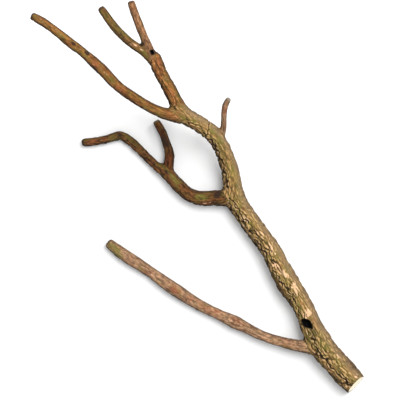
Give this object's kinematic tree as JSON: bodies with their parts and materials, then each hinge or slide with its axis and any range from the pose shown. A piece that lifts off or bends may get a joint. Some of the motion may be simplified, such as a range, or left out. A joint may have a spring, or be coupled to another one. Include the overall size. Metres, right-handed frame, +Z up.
{
  "type": "fallen tree branch",
  "caption": "Fallen tree branch lying on the ground: a furrowed, bark-covered stem that forks into bent side limbs and blunt-cut twigs, with a pale sawn butt and a dark knot hole.",
  "frame": {"origin": "bottom centre of the branch's overall box, on the flat ground that it lies on", "axes": "+Z up from the ground, +Y along the branch from the sawn butt towards the tips, +X to the side away from the two limbs that lie on the ground"},
  "size_m": [0.2742, 0.7131, 0.1329],
  "materials": {
    "furrowed_bark": "rough furrowed bark, olive-brown with tan ridges and dark cracks, pale sawn wood at the butt",
    "limb_bark": "finely streaked reddish-brown bark with olive patches",
    "twig_bark": "smooth grey-brown twig bark"
  },
  "bodies": {
    "root": {"main_stem": "furrowed_bark", "lower_side_limb": "limb_bark", "middle_side_limb": "limb_bark", "middle_limb_twig": "twig_bark", "stem_spur_twig": "twig_bark", "upper_left_limb": "limb_bark", "upper_right_limb": "limb_bark", "top_left_twig": "twig_bark", "top_right_twig": "twig_bark"}
  },
  "joints": []
}
